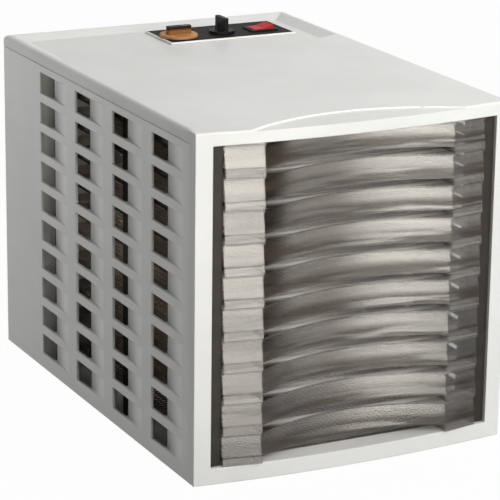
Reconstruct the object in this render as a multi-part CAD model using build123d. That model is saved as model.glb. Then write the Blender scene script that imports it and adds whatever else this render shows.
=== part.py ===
from build123d import *
import os
from math import cos, radians, sin

# Food dehydrator: a louvred cabinet with a bowed front frame, pull-out trays with a hollow grip,
# a fan and heater behind the trays and a sunk control deck at the rear of the top.
# Millimetres, +Z up, the front faces -Y. The origin is the middle of the footprint, on the floor.

# Cabinet
cabinet_width = 360.0
cabinet_depth = 512.0            # front corner to rear edge
cabinet_height = 367.0           # underside of the base to the top deck
front_bow = 12.0                 # how far the front swells out in the middle
panel_wall = 3.0
deck_wall = 3.5
skirt_height = 12.5              # side skirt of the top cover
skirt_round = 6.0
seam_gap = 0.6                   # shadow line under the skirt
fit_gap = 0.3                    # clearance between pieces that are fitted together
rear_recess = 2.0                # how far the rear panel sits inside the rear edge

# Feet
foot_height = 3.0
foot_diameter = 22.0
foot_inset = 34.0

# Front frame
side_bar = 18.0
top_bar = 14.0
bottom_bar = 17.0
frame_return = 14.0              # depth of the frame at its corners
frame_skin = 3.5
frame_round = 2.0
opening_round = 1.0
crescent_half = 122.0            # half width of the step in the top, where it meets the front
crescent_reach = 41.0            # how far the step reaches back from the middle of the bow
crescent_step = 2.0

# Louvres
louvre_columns = 4
louvre_rows = 10
louvre_column_pitch = 99.5
louvre_front_margin = 28.0       # front corner to the first pocket
louvre_top_margin = 8.5
louvre_bottom_margin = 16.7
louvre_length = 76.0
louvre_ramp = 48.0
louvre_height = 24.0
louvre_dip = 6.0                 # how far the ramp dips into the cabinet
louvre_wall = 2.0

# Trays
tray_count = 10
tray_wall = 2.4
tray_recess = 1.5                # foot of the tray's front wall behind the face of the frame
front_lean = 3.0                 # how far that wall leans back up to its rim
front_toe = 1.0                  # how far the ends of the front reach forwards below that foot
tray_top_gap = 0.4
tray_side_gap = 0.5
tray_rear_gap = 5.0
tray_side_height = 14.0
tray_floor = 2.0
grip_half = 108.0                # half width of the hollow grip
grip_low_sag = 24.0              # hollow of the grip at the foot of its wall
grip_high_sag = 26.0             # hollow of the grip at its rim
lip_reach = 3.0                  # lip of the rim, forwards at both ends and level with the wall midway
lip_wall = 2.0
shelf_wall = 1.6
tray_skirt_height = 7.5
tray_skirt_recess = 27.0         # straight skirt under the grip, behind the foot of the wall at its ends
mesh_seat = 8.0
mesh_wall = 2.0
mesh_border = 5.0
mesh_bar = 3.0
mesh_columns = 12
mesh_rows = 14

# Racks
rack_post_width = 12.7
rack_post_depth = 24.0
rack_front_recess = 4.5
ledge_wall = 2.0
ledge_reach = 7.0                # ledge under the tray, inwards from the tray's edge

# Fan, motor and heater
fan_bay_depth = 104.0            # rear edge to the front face of the bulkhead
bulkhead_wall = 2.5
fan_opening_radius = 98.0
guard_depth = 3.0
guard_bars = 11
guard_pitch = 17.0
guard_bar_width = 4.0
guard_landing = 7.0              # how far each bar laps the bulkhead
fan_radius = 90.0
fan_hub_radius = 20.0
fan_hub_length = 34.0
fan_blades = 6
fan_blade_chord = 40.0
fan_blade_wall = 2.0
fan_blade_pitch = 35.0
fan_front_gap = 12.5             # bulkhead to the front of the hub
shaft_radius = 3.0
running_gap = 0.05               # radial clearance of a turning shaft
motor_radius = 36.0
motor_length = 34.0
motor_gap = 5.0                  # hub to the motor
bush_radius = 8.0
bush_length = 8.0
rotor_radius = 19.0
rotor_gap = 0.5
bracket_wall = 3.0
bracket_width = 30.0
bracket_clearance = 16.0         # blade tips to the bracket's legs
bracket_foot = 16.0
element_radius = 70.0
element_tube = 6.5
element_opening = 20.0           # open part of the ring, in degrees
element_leg = 48.0
clip_wall = 2.0
clip_width = 10.0
terminal_plate_width = 60.0
terminal_plate_height = 24.0
cutout_radius = 8.0
cutout_height = 7.0
cutout_place = 112.0             # above the fan axis
terminal_block_size = (50.0, 16.0, 18.0)
terminal_block_place = (108.0, 24.0)   # from the middle, and ahead of the rear panel

# Rear panel
rear_slot_rows = 11
rear_slot_pitch = 14.0
rear_slot_height = 6.0
rear_slot_reach = 84.0           # radius of the slotted area
inlet_x = 120.0
inlet_z = 58.0
inlet_bore = 3.7
inlet_neck = 7.7
inlet_flange = 12.0
inlet_flange_wall = 2.0
screw_head_radius = 3.5
screw_shank_radius = 1.7
screw_hole_radius = 2.0
screw_inset = 10.0

# Control deck
console_length = 146.0           # rear edge to the ends of its curved front
console_bulge = 39.0             # how far that front swells forwards
console_rim = 8.0
console_slope = 14.0
console_recess = 6.0
panel_width = 154.0
panel_depth = 68.0
panel_plate = 2.5
panel_x = 64.0
panel_rear_margin = 31.0
control_row_shift = -7.0         # controls ahead of the middle of the panel
dial_x = 7.0
dial_radius = 22.0
dial_wall = 3.0
dial_lift = 0.5                  # running gap above the panel
grip_length = 30.0
grip_width = 9.0
grip_height = 9.0
timer_x = 62.0
timer_skirt_radius = 15.0
timer_bar_length = 26.0
timer_bar_width = 6.0
timer_bar_height = 15.0
control_bush_radius = 4.8
thermostat_radius = 19.0
thermostat_height = 26.0
timer_body_size = (46.0, 40.0, 24.0)
shaft_end_gap = 1.0
switch_x = 112.0
switch_length = 30.0
switch_width = 24.0
switch_flange = 1.5
switch_flange_wall = 1.8
switch_depth = 26.0
switch_wall = 1.3
rocker_rise = 4.2
rocker_dip = 1.6                 # hollow in the middle of the rocker's top
rocker_keel = 6.5
rocker_tilt = 10.0
rocker_pin_radius = 1.5

# Places worked out from the sizes above
half_width = cabinet_width / 2
rear_y = (cabinet_depth + front_bow) / 2
corner_y = rear_y - cabinet_depth
apex_y = corner_y - front_bow
frame_back_y = corner_y + frame_return
floor_z = foot_height
base_top_z = floor_z + panel_wall
deck_z = foot_height + cabinet_height
skirt_z = deck_z - skirt_height
panel_top_z = skirt_z - seam_gap
inner_half = half_width - panel_wall
opening_half = half_width - side_bar
opening_low = floor_z + bottom_bar
opening_high = deck_z - top_bar
tray_pitch = (opening_high - opening_low) / tray_count
rack_inner = opening_half - fit_gap - rack_post_width
tray_half = rack_inner - tray_side_gap
tray_lift = fit_gap + ledge_wall + fit_gap
skirt_y = apex_y + tray_recess + tray_skirt_recess
rim_back_y = apex_y + tray_recess + front_lean + grip_high_sag + tray_wall
bulkhead_y = rear_y - fan_bay_depth
bulkhead_back_y = bulkhead_y + bulkhead_wall
tray_back_y = bulkhead_y - guard_depth - tray_rear_gap
rear_panel_back_y = rear_y - rear_recess
rear_panel_front_y = rear_panel_back_y - panel_wall
fan_z = (opening_low + opening_high) / 2
fan_front_y = bulkhead_back_y + fan_front_gap
fan_back_y = fan_front_y + fan_hub_length
motor_front_y = fan_back_y + motor_gap
motor_back_y = motor_front_y + motor_length
bracket_back_y = motor_back_y + bracket_wall
bracket_half = fan_radius + bracket_clearance
element_y = bulkhead_back_y + clip_wall + fit_gap + element_tube / 2
console_front_y = rear_y - console_length
console_half = half_width - console_rim
console_floor_z = deck_z - console_recess
console_under_z = console_floor_z - panel_wall
panel_y = rear_y - panel_rear_margin - panel_depth / 2
panel_top = console_floor_z + panel_plate
control_y = panel_y + control_row_shift
knob_z = panel_top + dial_lift


def block(x0, x1, y0, y1, z0, z1):
    """A rectangular block between two opposite corners."""
    centre = Pos((x0 + x1) / 2, (y0 + y1) / 2, (z0 + z1) / 2)
    return centre * Box(x1 - x0, y1 - y0, z1 - z0)


def rod_y(radius, y0, y1, x=0.0, z=0.0):
    """A round bar along Y."""
    return Pos(x, (y0 + y1) / 2, z) * Rot(90, 0, 0) * Cylinder(radius, y1 - y0)


def rod_z(radius, z0, z1, x=0.0, y=0.0):
    """A round bar along Z."""
    return Pos(x, y, (z0 + z1) / 2) * Cylinder(radius, z1 - z0)


def bow_y(x):
    """The bowed front of the cabinet at a distance x from its middle."""
    return corner_y - front_bow * (1 - (x / half_width) ** 2)


def bowed_plan(half, back_y, setback):
    """Plan of the cabinet's front: an arc moved back by setback, two sides and a straight back."""
    arc = ThreePointArc((-half, corner_y + setback), (0, apex_y + setback), (half, corner_y + setback))
    rest = Polyline((half, corner_y + setback), (half, back_y), (-half, back_y), (-half, corner_y + setback))
    return make_face([arc, rest])


def crescent_cutter():
    """The shallow step in the top: an arc behind the front edge, open to the front."""
    end_y = bow_y(crescent_half)
    beyond_y = apex_y - frame_return
    arc = ThreePointArc((-crescent_half, end_y), (0, apex_y + crescent_reach), (crescent_half, end_y))
    rest = Polyline((crescent_half, end_y), (crescent_half, beyond_y), (-crescent_half, beyond_y),
                    (-crescent_half, end_y))
    return extrude(Pos(0, 0, deck_z - crescent_step) * make_face([arc, rest]), amount=2 * crescent_step)


def front_bezel():
    """Bowed front frame with a hollow channel section, open at the back."""
    outer = extrude(Pos(0, 0, floor_z) * bowed_plan(half_width, frame_back_y, 0), amount=cabinet_height)
    outer = fillet(outer.edges().group_by(Axis.Z)[-1].filter_by(GeomType.CIRCLE), frame_round)
    opening = block(-opening_half, opening_half, apex_y - 1, frame_back_y + 1, opening_low, opening_high)
    opening = fillet(opening.edges().filter_by(Axis.Y), opening_round)
    channel = extrude(
        Pos(0, 0, floor_z + frame_skin) * bowed_plan(half_width - frame_skin, frame_back_y + 1, frame_skin),
        amount=cabinet_height - 2 * frame_skin,
    )
    channel -= block(
        -opening_half - frame_skin, opening_half + frame_skin, apex_y - 1, frame_back_y + 2,
        opening_low - frame_skin, opening_high + frame_skin,
    )
    return outer - opening - channel - crescent_cutter()


def console_plan(inset, z):
    """Outline of the sunk control deck: a forward-swelling arc, two sides and a straight rear."""
    half = console_half - inset
    end_y = console_front_y + inset
    back_y = rear_y - console_rim - inset
    arc = ThreePointArc((-half, end_y), (0, end_y - console_bulge), (half, end_y))
    rest = Polyline((half, end_y), (half, back_y), (-half, back_y), (-half, end_y))
    return Pos(0, 0, z) * make_face([arc, rest])


def control_holes(z0, z1):
    """Holes for the two control bushes and the switch, through whatever lies between z0 and z1."""
    bush = control_bush_radius + fit_gap
    cut = switch_length / 2 + fit_gap
    cut_y = switch_width / 2 + fit_gap
    return [
        rod_z(bush, z0, z1, dial_x, control_y),
        rod_z(bush, z0, z1, timer_x, control_y),
        block(switch_x - cut, switch_x + cut, control_y - cut_y, control_y + cut_y, z0, z1),
    ]


def top_cover():
    """Top deck with its skirt, the crescent step at the front and the sunk control deck."""
    cover = block(-half_width, half_width, frame_back_y, rear_y, skirt_z, deck_z)
    top_edges = cover.faces().sort_by(Axis.Z)[-1].edges()
    cover = fillet(top_edges - top_edges.sort_by(Axis.Y)[:1], skirt_round)
    inner_rear_y = rear_y - panel_wall
    front_hollow_y = console_front_y - console_bulge - deck_wall
    cover -= block(-inner_half, inner_half, frame_back_y - 1, inner_rear_y, skirt_z - 1, console_under_z)
    cover -= block(-inner_half, inner_half, frame_back_y - 1, front_hollow_y, skirt_z - 1, deck_z - deck_wall)
    recess = loft([console_plan(console_slope, console_floor_z), console_plan(0, deck_z)], ruled=True)
    cover -= recess
    cover -= extrude(console_plan(0, deck_z), amount=skirt_round)
    cover -= control_holes(console_under_z - 1, console_floor_z + 1)
    return cover - crescent_cutter()


def louvre_places():
    """Front end and lower edge of every louvre pocket."""
    first_y = corner_y + louvre_front_margin
    high_z = skirt_z - louvre_top_margin - louvre_height
    low_z = floor_z + louvre_bottom_margin
    row_pitch = (high_z - low_z) / (louvre_rows - 1)
    return [
        (first_y + column * louvre_column_pitch, low_z + row * row_pitch)
        for column in range(louvre_columns)
        for row in range(louvre_rows)
    ]


def left_side_panel():
    """Side wall with inward scoops: each ramp dips towards the rear and ends at an open hole."""
    outer_x = -half_width
    inner_x = -inner_half
    slope = louvre_dip / louvre_ramp
    panel = block(outer_x, inner_x, frame_back_y, rear_y, floor_z, panel_top_z)
    scoops = []
    pockets = []
    for y, z in louvre_places():
        ramp_y = y + louvre_ramp
        ramp_x = outer_x + louvre_dip
        lead = louvre_wall / slope
        back = Polyline((outer_x + louvre_wall, y - lead / 2), (ramp_x + louvre_wall, ramp_y),
                        (outer_x + louvre_wall, ramp_y), close=True)
        scoops.append(extrude(Pos(0, 0, z - louvre_wall) * make_face(back),
                              amount=louvre_height + 2 * louvre_wall))
        start = 1 / slope
        face = Polyline((outer_x - 1, y - start), (ramp_x, ramp_y), (ramp_x + 2 * louvre_dip, ramp_y),
                        (ramp_x + 2 * louvre_dip, y + louvre_length), (outer_x - 1, y + louvre_length), close=True)
        pockets.append(extrude(Pos(0, 0, z) * make_face(face), amount=louvre_height))
    return (panel + scoops) - pockets


def base_pan():
    """Floor of the cabinet between the side walls."""
    return block(-inner_half, inner_half, frame_back_y, rear_panel_back_y, floor_z, base_top_z)


def rear_screw_places():
    """Screw places along the edges of the rear panel."""
    side = inner_half - screw_inset
    low = base_top_z + screw_inset
    high = panel_top_z - screw_inset
    middle = (low + high) / 2
    return [(x, z) for x in (-side, 0, side) for z in (low, middle, high) if (x, z) != (0, middle)]


def rear_panel():
    """Rear wall with intake slots in a round field, the lead's hole and screw holes."""
    panel = block(-inner_half, inner_half, rear_panel_front_y, rear_panel_back_y, base_top_z, panel_top_z)
    cuts = []
    for row in range(rear_slot_rows):
        rise = (row - (rear_slot_rows - 1) / 2) * rear_slot_pitch
        half = (rear_slot_reach ** 2 - rise ** 2) ** 0.5
        z = fan_z + rise
        for x0, x1 in ((-half, -rear_slot_height / 2), (rear_slot_height / 2, half)):
            cuts.append(block(x0, x1, rear_panel_front_y - 1, rear_panel_back_y + 1,
                              z - rear_slot_height / 2, z + rear_slot_height / 2))
    cuts.append(rod_y(inlet_neck + fit_gap, rear_panel_front_y - 1, rear_panel_back_y + 1, inlet_x, inlet_z))
    for x, z in rear_screw_places():
        cuts.append(rod_y(screw_hole_radius, rear_panel_front_y - 1, rear_panel_back_y + 1, x, z))
    return panel - cuts


def panel_screws():
    """Screws that hold the rear panel."""
    screws = []
    for x, z in rear_screw_places():
        head = rod_y(screw_head_radius, rear_panel_back_y, rear_y, x, z)
        screws.append(head + rod_y(screw_shank_radius, rear_panel_front_y, rear_panel_back_y, x, z))
    return screws


def mains_inlet():
    """Grommet in the rear panel, with a bore for the mains lead."""
    inner_y = rear_panel_front_y - inlet_flange_wall
    grommet = rod_y(inlet_neck, inner_y, rear_y, inlet_x, inlet_z)
    grommet += rod_y(inlet_flange, rear_panel_back_y, rear_y, inlet_x, inlet_z)
    grommet += rod_y(inlet_flange - 1, inner_y, rear_panel_front_y, inlet_x, inlet_z)
    return grommet - rod_y(inlet_bore, inner_y - 1, rear_y + 1, inlet_x, inlet_z)


def rubber_feet():
    """Four feet under the base."""
    x = half_width - foot_inset
    low_y = frame_back_y + foot_inset
    high_y = rear_y - foot_inset
    return [rod_z(foot_diameter / 2, 0, foot_height, sx * x, y) for sx in (-1, 1) for y in (low_y, high_y)]


def fan_bulkhead():
    """Wall between the trays and the fan, with the round air opening."""
    wall = block(-inner_half + fit_gap, inner_half - fit_gap, bulkhead_y, bulkhead_back_y,
                 base_top_z, console_under_z - fit_gap)
    return wall - rod_y(fan_opening_radius, bulkhead_y - 1, bulkhead_back_y + 1, 0, fan_z)


def fan_guard():
    """Upright bars over the air opening, on the tray side of the bulkhead."""
    bars = []
    for bar in range(guard_bars):
        x = (bar - (guard_bars - 1) / 2) * guard_pitch
        half = (fan_opening_radius ** 2 - x ** 2) ** 0.5 + guard_landing
        bars.append(block(x - guard_bar_width / 2, x + guard_bar_width / 2, bulkhead_y - guard_depth, bulkhead_y,
                          fan_z - half, fan_z + half))
    return bars


def fan_impeller():
    """Axial fan: a hub and pitched blades."""
    middle_y = (fan_front_y + fan_back_y) / 2
    root = fan_hub_radius - fan_blade_wall
    fan = rod_y(fan_hub_radius, fan_front_y, fan_back_y, 0, fan_z)
    blade = Rot(fan_blade_pitch, 0, 0) * Box(fan_radius - root, fan_blade_chord, fan_blade_wall)
    for index in range(fan_blades):
        turn = Rot(0, index * 360 / fan_blades, 0)
        fan += Pos(0, middle_y, fan_z) * turn * Pos((fan_radius + root) / 2, 0, 0) * blade
    return fan - rod_y(shaft_radius, fan_front_y - 1, rear_y, 0, fan_z)


def motor_shaft():
    """Shaft through the hub and the motor."""
    return rod_y(shaft_radius, fan_front_y, bracket_back_y - fit_gap, 0, fan_z)


def motor_rotor():
    """Rotor on the shaft, inside the motor."""
    y0 = motor_front_y + bush_length + rotor_gap
    y1 = motor_back_y - bush_length - rotor_gap
    return rod_y(rotor_radius, y0, y1, 0, fan_z) - rod_y(shaft_radius, y0 - 1, y1 + 1, 0, fan_z)


def motor_housing():
    """Motor case with a rotor chamber and a seat for a bush at each end."""
    case = rod_y(motor_radius, motor_front_y, motor_back_y, 0, fan_z)
    chamber = rod_y(rotor_radius + rotor_gap, motor_front_y + bush_length, motor_back_y - bush_length, 0, fan_z)
    return case - chamber - rod_y(bush_radius, motor_front_y - 1, motor_back_y + 1, 0, fan_z)


def motor_bushes():
    """The two sleeve bearings of the shaft."""
    bore = rod_y(shaft_radius + running_gap, motor_front_y - 1, motor_back_y + 1, 0, fan_z)
    front = rod_y(bush_radius, motor_front_y, motor_front_y + bush_length, 0, fan_z) - bore
    back = rod_y(bush_radius, motor_back_y - bush_length, motor_back_y, 0, fan_z) - bore
    return [front, back]


def bracket_screw_places():
    """Screw places on the feet of the motor bracket."""
    x = bracket_half + bracket_wall + bracket_foot / 2
    rise = bracket_width / 4
    return [(sx * x, fan_z + sz * rise) for sx in (-1, 1) for sz in (-1, 1)]


def motor_bracket():
    """Strap behind the motor with two legs to the bulkhead."""
    low = fan_z - bracket_width / 2
    high = fan_z + bracket_width / 2
    outside = bracket_half + bracket_wall
    foot_y = bulkhead_back_y + bracket_wall
    bracket = block(-outside, outside, motor_back_y, bracket_back_y, low, high)
    for side in (-1, 1):
        leg = sorted((side * bracket_half, side * outside))
        foot = sorted((side * bracket_half, side * (outside + bracket_foot)))
        bracket += block(leg[0], leg[1], bulkhead_back_y, bracket_back_y, low, high)
        bracket += block(foot[0], foot[1], bulkhead_back_y, foot_y, low, high)
    bracket -= rod_y(shaft_radius + fit_gap, motor_back_y - 1, bracket_back_y + 1, 0, fan_z)
    for x, z in bracket_screw_places():
        bracket -= rod_y(screw_hole_radius, bulkhead_back_y - 1, foot_y + 1, x, z)
    return bracket


def bracket_screws():
    """Screws through the feet of the motor bracket."""
    foot_y = bulkhead_back_y + bracket_wall
    screws = []
    for x, z in bracket_screw_places():
        head = rod_y(screw_head_radius, foot_y, foot_y + rear_recess, x, z)
        screws.append(head + rod_y(screw_shank_radius, bulkhead_back_y, foot_y, x, z))
    return screws


def heating_element():
    """Sheathed heating element: an open ring with two legs down to its terminal plate."""
    section = Pos(element_radius, element_y, fan_z) * Circle(element_tube / 2)
    axis = Axis((0, element_y, fan_z), (0, 1, 0))
    ring = revolve(section, axis, revolution_arc=360 - element_opening)
    ring = ring.rotate(axis, 90 + element_opening / 2)
    turn = radians(element_opening / 2)
    end_x = element_radius * sin(turn)
    end_z = fan_z - element_radius * cos(turn)
    for side in (-1, 1):
        leg = rod_z(element_tube / 2, end_z - element_leg, end_z, side * end_x, element_y)
        ring += leg + Pos(side * end_x, element_y, end_z) * Sphere(element_tube / 2)
    return ring


def element_clips():
    """Strips from the bulkhead that carry the element's ring at four places."""
    strip = block(element_radius - element_tube, fan_opening_radius + clip_width, bulkhead_back_y,
                  bulkhead_back_y + clip_wall, -clip_width / 2, clip_width / 2)
    return [Pos(0, 0, fan_z) * Rot(0, turn, 0) * strip for turn in (45, 135, 225, 315)]


def element_terminal_plate():
    """Plate that carries the element's legs, on the rear of the bulkhead."""
    high = fan_z - fan_opening_radius - clip_width / 2
    half = terminal_plate_width / 2
    return block(-half, half, bulkhead_back_y, bulkhead_back_y + clip_wall, high - terminal_plate_height, high)


def thermal_cutout():
    """Safety cut-out on the rear of the bulkhead."""
    return rod_y(cutout_radius, bulkhead_back_y, bulkhead_back_y + cutout_height, 0, fan_z + cutout_place)


def terminal_block():
    """Wire terminals on the base, ahead of the rear panel."""
    long, deep, high = terminal_block_size
    x, ahead = terminal_block_place
    y = rear_panel_front_y - ahead
    return block(x - long / 2, x + long / 2, y - deep / 2, y + deep / 2, base_top_z, base_top_z + high)


def rack_post_places():
    """Front edge and foot of the three uprights of a rack: at the frame, midway and at the bulkhead."""
    front_y = bow_y(opening_half) + rack_front_recess
    rear_post_y = bulkhead_y - fit_gap - rack_post_depth
    middle_y = (front_y + rear_post_y) / 2
    return [(front_y, opening_low + fit_gap), (middle_y, base_top_z), (rear_post_y, base_top_z)]


def left_tray_rack():
    """The three uprights of the left rack."""
    outer_x = -opening_half + fit_gap
    top_z = opening_high - fit_gap
    return [block(outer_x, -rack_inner, y, y + rack_post_depth, z, top_z) for y, z in rack_post_places()]


def left_tray_ledges():
    """One ledge for each tray, on the inner faces of the left uprights."""
    front_y = skirt_y + tray_wall + fit_gap
    back_y = rack_post_places()[-1][0] + rack_post_depth
    inner_x = -tray_half + ledge_reach
    ledges = []
    for tray in range(tray_count):
        z = opening_low + tray * tray_pitch + fit_gap
        ledges.append(block(-rack_inner, inner_x, front_y, back_y, z, z + ledge_wall))
    return ledges


def front_line(recess, sag):
    """Front line of a tray in plan: straight ends that come forward and a hollow arc between them."""
    end_y = bow_y(tray_half) + recess
    grip_y = apex_y + recess
    return [
        Line((-tray_half, end_y), (-grip_half, grip_y)),
        ThreePointArc((-grip_half, grip_y), (0, grip_y + sag), (grip_half, grip_y)),
        Line((grip_half, grip_y), (tray_half, end_y)),
    ]


def straight_line(y):
    """A straight line across the tray in plan."""
    return [Line((-tray_half, y), (tray_half, y))]


def between(front, back):
    """Plan face between two tray lines."""
    left = Line(front[0] @ 0, back[0] @ 0)
    right = Line(front[-1] @ 1, back[-1] @ 1)
    return make_face(front + back + [left, right])


def tray_front():
    """Front of the lowest tray: a leaning wall, hollow in the middle, a flat ledge behind its rim and a
    straight skirt that is set back under the grip and filled out at both ends."""
    low_z = opening_low + tray_top_gap
    shelf_z = low_z + tray_skirt_height
    top_z = opening_low + tray_pitch - tray_top_gap
    lip_z = top_z - lip_wall
    rim_recess = tray_recess + front_lean
    foot = front_line(tray_recess, grip_low_sag)
    toe = front_line(tray_recess - front_toe, grip_low_sag)
    lip = front_line(rim_recess - lip_reach, grip_high_sag + lip_reach)
    skirt_back = straight_line(skirt_y + tray_wall)
    wall_foot = between(foot, front_line(tray_recess + tray_wall, grip_low_sag))
    wall_rim = between(front_line(rim_recess, grip_high_sag), front_line(rim_recess + tray_wall, grip_high_sag))
    shelf = between(foot, skirt_back)
    front = loft([Pos(0, 0, shelf_z) * wall_foot, Pos(0, 0, lip_z) * wall_rim], ruled=True)
    front += extrude(Pos(0, 0, lip_z) * between(lip, straight_line(rim_back_y)), amount=lip_wall)
    front += extrude(Pos(0, 0, shelf_z) * shelf, amount=shelf_wall)
    front += block(-tray_half, tray_half, skirt_y, skirt_y + tray_wall, low_z, shelf_z)
    filling = loft([Pos(0, 0, low_z) * between(toe, skirt_back), Pos(0, 0, shelf_z) * shelf], ruled=True)
    for side in (-1, 1):
        x = sorted((side * grip_half, side * (tray_half + 1)))
        hollow_x = sorted((side * (grip_half + tray_wall), side * (tray_half - tray_wall)))
        hollow_y = bow_y(tray_half) + tray_recess + tray_wall
        end = filling & block(x[0], x[1], apex_y, rear_y, low_z - 1, shelf_z + 1)
        front += end - block(hollow_x[0], hollow_x[1], hollow_y, skirt_y, low_z - 1, shelf_z)
    return front


def tray_frame():
    """Lowest tray: its front, low side and rear walls and a floor rim for the mesh."""
    low_z = opening_low + tray_lift
    tray = tray_front()
    tray += block(-tray_half, tray_half, skirt_y, tray_back_y, low_z, low_z + tray_floor)
    side_top = low_z + tray_side_height
    for side in (-1, 1):
        x = sorted((side * (tray_half - tray_wall), side * tray_half))
        tray += block(x[0], x[1], skirt_y, tray_back_y, low_z, side_top)
    tray += block(-tray_half, tray_half, tray_back_y - tray_wall, tray_back_y, low_z, side_top)
    x0, x1, y0, y1 = mesh_window()
    return tray - block(x0, x1, y0, y1, low_z - 1, low_z + tray_floor + 1)


def mesh_outline():
    """Place of the mesh floor inside a tray, just behind the ledge of its front."""
    half = tray_half - tray_wall - fit_gap
    return -half, half, rim_back_y + fit_gap, tray_back_y - tray_wall - fit_gap


def mesh_window():
    """Opening in the tray's floor under the mesh."""
    x0, x1, y0, y1 = mesh_outline()
    return x0 + mesh_seat, x1 - mesh_seat, y0 + mesh_seat, y1 - mesh_seat


def tray_mesh():
    """Lowest mesh floor: a flat grid inside a border."""
    x0, x1, y0, y1 = mesh_outline()
    z = opening_low + tray_lift + tray_floor
    cell_x = (x1 - x0 - 2 * mesh_border + mesh_bar) / mesh_columns
    cell_y = (y1 - y0 - 2 * mesh_border + mesh_bar) / mesh_rows
    middle = Pos((x0 + x1) / 2, (y0 + y1) / 2, z)
    grid = GridLocations(cell_x, cell_y, mesh_columns, mesh_rows)
    holes = grid * Rectangle(cell_x - mesh_bar, cell_y - mesh_bar)
    return extrude(middle * (Rectangle(x1 - x0, y1 - y0) - holes), amount=mesh_wall)


def console_panel():
    """Dark control plate on the floor of the sunk deck."""
    plate = block(panel_x - panel_width / 2, panel_x + panel_width / 2, panel_y - panel_depth / 2,
                  panel_y + panel_depth / 2, console_floor_z, panel_top)
    return plate - control_holes(console_floor_z - 1, panel_top + 1)


def control_bush(x, body, body_height):
    """A control's body under the deck, with a bush up to the panel and a blind bore for its shaft."""
    floor = console_under_z - body_height + shaft_end_gap
    bush = rod_z(control_bush_radius, console_under_z, panel_top, x, control_y)
    return body + bush - rod_z(shaft_radius + running_gap, floor, panel_top + 1, x, control_y)


def control_shaft(x, body_height, top_z):
    """Turning shaft of a control."""
    return rod_z(shaft_radius, console_under_z - body_height + 2 * shaft_end_gap, top_z, x, control_y)


def thermostat_body():
    """Thermostat under the deck."""
    case = rod_z(thermostat_radius, console_under_z - thermostat_height, console_under_z, dial_x, control_y)
    return control_bush(dial_x, case, thermostat_height)


def thermostat_shaft():
    """Shaft of the thermostat, up into its grip."""
    return control_shaft(dial_x, thermostat_height, knob_z + dial_wall + grip_height / 2)


def thermostat_dial():
    """Round scale disc that turns with the thermostat's shaft."""
    disc = rod_z(dial_radius, knob_z, knob_z + dial_wall, dial_x, control_y)
    disc = chamfer(disc.edges().group_by(Axis.Z)[-1], dial_wall / 4)
    return disc - rod_z(shaft_radius, knob_z - 1, knob_z + dial_wall + 1, dial_x, control_y)


def thermostat_grip():
    """Low finger grip on the scale disc."""
    z = knob_z + dial_wall
    bar = block(dial_x - grip_length / 2, dial_x + grip_length / 2, control_y - grip_width / 2,
                control_y + grip_width / 2, z, z + grip_height)
    bar = fillet(bar.edges().filter_by(Axis.Z), grip_width / 3)
    return bar - rod_z(shaft_radius, z - 1, z + grip_height / 2, dial_x, control_y)


def timer_body():
    """Timer under the deck."""
    long, deep, high = timer_body_size
    case = block(timer_x - long / 2, timer_x + long / 2, control_y - deep / 2, control_y + deep / 2,
                 console_under_z - high, console_under_z)
    return control_bush(timer_x, case, high)


def timer_shaft():
    """Shaft of the timer, up into its knob."""
    return control_shaft(timer_x, timer_body_size[2], knob_z + dial_wall + timer_bar_height / 2)


def timer_knob():
    """Bar knob on a round skirt."""
    z = knob_z + dial_wall
    skirt = rod_z(timer_skirt_radius, knob_z, z, timer_x, control_y)
    bar = block(timer_x - timer_bar_width / 2, timer_x + timer_bar_width / 2, control_y - timer_bar_length / 2,
                control_y + timer_bar_length / 2, z, z + timer_bar_height)
    bar = fillet(bar.edges().filter_by(Axis.Z), timer_bar_width / 3)
    boss = rod_z(shaft_radius + panel_wall, z, z + timer_bar_height / 2 + 1, timer_x, control_y)
    bore = rod_z(shaft_radius, knob_z - 1, z + timer_bar_height / 2, timer_x, control_y)
    return skirt + bar + boss - bore


def switch_pivot_z():
    """Height of the rocker's pin."""
    return panel_top + switch_flange_wall - rocker_pin_radius


def switch_housing():
    """Switch case through the panel, with a flange, a pocket for the rocker and its pin's holes."""
    half = switch_length / 2
    half_y = switch_width / 2
    top = panel_top + switch_flange_wall
    case = block(switch_x - half, switch_x + half, control_y - half_y, control_y + half_y, top - switch_depth, top)
    case += block(switch_x - half - switch_flange, switch_x + half + switch_flange,
                  control_y - half_y - switch_flange, control_y + half_y + switch_flange, panel_top, top)
    pocket_z = switch_pivot_z() - rocker_keel - 2 * switch_wall
    case -= block(switch_x - half + switch_wall, switch_x + half - switch_wall, control_y - half_y + switch_wall,
                  control_y + half_y - switch_wall, pocket_z, top + 1)
    return case - rod_y(rocker_pin_radius, control_y - half_y, control_y + half_y, switch_x, switch_pivot_z())


def switch_pin():
    """Pin that the rocker tips on."""
    half_y = switch_width / 2
    return rod_y(rocker_pin_radius, control_y - half_y, control_y + half_y, switch_x, switch_pivot_z())


def switch_rocker():
    """Rocker with a hollow top, tipped to one side at rest."""
    reach = (switch_length / 2 - switch_wall - fit_gap) * cos(radians(rocker_tilt)) - rocker_rise / 4
    keel = reach / 2
    half_y = switch_width / 2 - switch_wall - fit_gap
    section = Polyline(
        (-reach, rocker_rise), (0, rocker_rise - rocker_dip), (reach, rocker_rise), (reach, -rocker_pin_radius),
        (keel, -rocker_keel), (-keel, -rocker_keel), (-reach, -rocker_pin_radius), close=True,
    )
    body = extrude(Plane.XZ.offset(-half_y) * make_face(section), amount=2 * half_y)
    body -= rod_y(rocker_pin_radius + running_gap, -switch_width, switch_width)
    return Pos(switch_x, control_y, switch_pivot_z()) * Rot(0, -rocker_tilt, 0) * body


def write_node(name, shape):
    """Writes one piece, or a group of like pieces, to its own file."""
    solids = shape if isinstance(shape, list) else [shape]
    parts = [solid for piece in solids for solid in piece.solids()]
    node = parts[0] if len(parts) == 1 else Compound(children=parts)
    export_step(node, os.path.join("parts", name + ".step"))


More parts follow.
